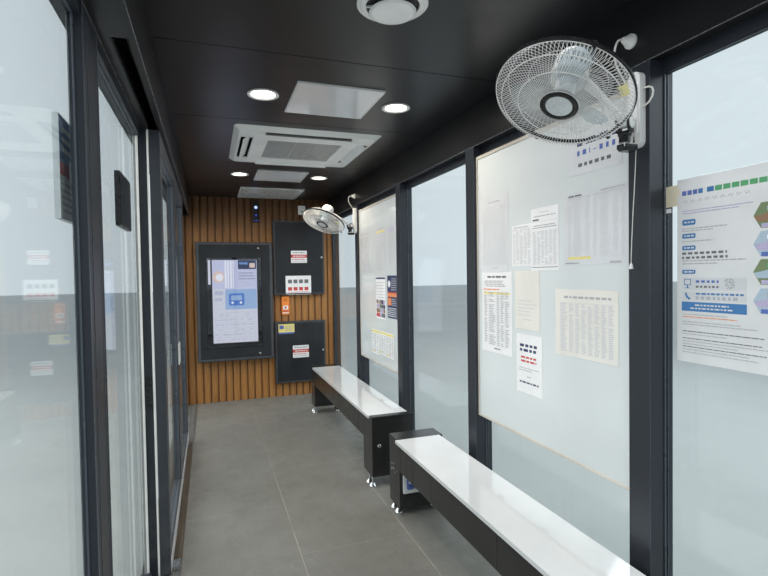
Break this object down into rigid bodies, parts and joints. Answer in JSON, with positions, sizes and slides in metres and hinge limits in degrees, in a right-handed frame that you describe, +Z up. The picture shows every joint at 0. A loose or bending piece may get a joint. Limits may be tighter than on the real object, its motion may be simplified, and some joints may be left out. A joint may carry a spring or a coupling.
{
  "type": "enclosed bus shelter",
  "caption": "Glazed bus shelter with a sliding street door, dark flat roof and ceiling, seats, notice boards, wall fans, ceiling cooling unit and a slatted end wall with a display and cabinets.",
  "frame": {"origin": "centre of the shelter's box at the ground under the base frame", "axes": "+X along the shelter towards the glazed end, -Y the street side with the sliding door, +Z up"},
  "size_m": [7.32, 1.93, 2.75],
  "materials": {
    "base_steel": "dark grey paint",
    "floor_stone": "honed stone-look tile with dirt",
    "threshold_metal": "worn brown-grey anodised sill",
    "stainless": "brushed",
    "frame_paint": "satin dark blue-grey coating",
    "leaf_paint": "satin dark blue-grey coating",
    "clear_glass": "clear, with water spots",
    "dark_glass": "glossy dark border",
    "slat_brown": "warm brown wood-look coating",
    "header_black": "satin near-black coating",
    "roof_paint": "satin dark coating",
    "white_plastic": "satin off-white",
    "pale_panel": "glossy pale grey",
    "cabinet_paint": "satin dark grey",
    "bench_black": "glossy black",
    "bench_white": "polished white",
    "board_pale": "satin pale",
    "black_plastic": "satin black",
    "orange_plastic": "satin orange",
    "sign_white": "satin white",
    "white_cable": "matte",
    "fan_grey": "satin pale grey",
    "blade_blue": "translucent pale blue-grey",
    "lamp_lens": "lit lens",
    "screen": "lit screen"
  },
  "bodies": {
    "shelter": {"base_beams": "base_steel", "base_crossbars": "base_steel", "floor_deck": "floor_stone", "threshold": "threshold_metal", "door_guides": "stainless", "front_posts": "frame_paint", "rear_posts": "frame_paint", "glazing_rails": "frame_paint", "end_mullion": "frame_paint", "fixed_glass": "clear_glass", "end_wall": "slat_brown", "front_header": "header_black", "rear_header": "header_black", "end_header": "header_black", "ceiling": "header_black", "roof_top": "roof_paint", "side_fascia": "roof_paint", "end_fascia": "roof_paint", "ac_cassette": "white_plastic", "ac_vanes": "white_plastic", "ceiling_panels": "pale_panel", "downlights": "white_plastic", "downlight_lenses": "lamp_lens", "round_diffuser": "white_plastic", "display_case": "cabinet_paint", "display_screen": "screen", "upper_cabinet": "cabinet_paint", "lower_cabinet": "cabinet_paint", "bench_frames": "bench_black", "bench_tops": "bench_white", "bench_feet": "stainless", "notice_boards": "board_pale", "wall_sensor": "black_plastic", "wall_box": "white_plastic", "call_device": "orange_plastic", "info_tablet": "black_plastic", "outside_sign": "sign_white", "cable_glands": "white_plastic", "fan_leads": "white_cable", "pull_cord": "white_cable", "cord_bead": "white_plastic", "fan_a_bracket": "white_plastic", "fan_b_bracket": "white_plastic"},
    "near_leaf": {"near_leaf_frame": "leaf_paint", "near_leaf_glass": "clear_glass"},
    "far_leaf": {"far_leaf_frame": "leaf_paint", "far_leaf_glass": "clear_glass"},
    "display_door": {"display_door": "cabinet_paint", "display_glass": "dark_glass"},
    "upper_door": {"upper_door": "cabinet_paint"},
    "lower_door": {"lower_door": "cabinet_paint"},
    "fan_a_neck": {"fan_a_neck": "black_plastic"},
    "fan_a_head": {"fan_a_head": "fan_grey"},
    "fan_a_rotor": {"fan_a_rotor": "blade_blue"},
    "fan_b_neck": {"fan_b_neck": "black_plastic"},
    "fan_b_head": {"fan_b_head": "fan_grey"},
    "fan_b_rotor": {"fan_b_rotor": "blade_blue"}
  },
  "joints": [
    {"name": "near_leaf_slide", "type": "slide", "parent": "shelter", "child": "near_leaf", "axis": [1, 0, 0], "range_m": [0, 0.93]},
    {"name": "far_leaf_slide", "type": "slide", "parent": "shelter", "child": "far_leaf", "axis": [-1, 0, 0], "range_m": [0, 0.93]},
    {"name": "display_door_hinge", "type": "hinge", "parent": "shelter", "child": "display_door", "pos_m": [-3.4065, -0.74, 1.268], "axis": [0, 0, -1], "range_deg": [0, 88]},
    {"name": "upper_door_hinge", "type": "hinge", "parent": "shelter", "child": "upper_door", "pos_m": [-3.459, 0.13, 1.77], "axis": [0, 0, -1], "range_deg": [0, 90]},
    {"name": "lower_door_hinge", "type": "hinge", "parent": "shelter", "child": "lower_door", "pos_m": [-3.459, 0.13, 0.635], "axis": [0, 0, -1], "range_deg": [0, 90]},
    {"name": "fan_a_swing", "type": "hinge", "parent": "shelter", "child": "fan_a_neck", "pos_m": [1.235, 0.735, 1.99], "axis": [0, 0, 1], "range_deg": [-30, 30]},
    {"name": "fan_a_tilt", "type": "hinge", "parent": "fan_a_neck", "child": "fan_a_head", "pos_m": [1.235, 0.735, 2.042], "axis": [0.9298, 0.3681, 0], "range_deg": [-15, 12]},
    {"name": "fan_a_spin", "type": "hinge", "parent": "fan_a_head", "child": "fan_a_rotor", "pos_m": [1.30901, 0.42013, 2.076], "axis": [0.1852, -0.4677, -0.8643], "continuous": true},
    {"name": "fan_b_swing", "type": "hinge", "parent": "shelter", "child": "fan_b_neck", "pos_m": [-2.245, 0.735, 1.99], "axis": [0, 0, 1], "range_deg": [-30, 30]},
    {"name": "fan_b_tilt", "type": "hinge", "parent": "fan_b_neck", "child": "fan_b_head", "pos_m": [-2.245, 0.735, 2.042], "axis": [0.8425, 0.5388, 0], "range_deg": [-15, 12]},
    {"name": "fan_b_spin", "type": "hinge", "parent": "fan_b_head", "child": "fan_b_rotor", "pos_m": [-2.11174, 0.4392, 2.06481], "axis": [0.2546, -0.3981, -0.8813], "continuous": true}
  ],
  "couplings": [
    {"joint": "far_leaf_slide", "follows": "near_leaf_slide", "ratio": 1}
  ]
}
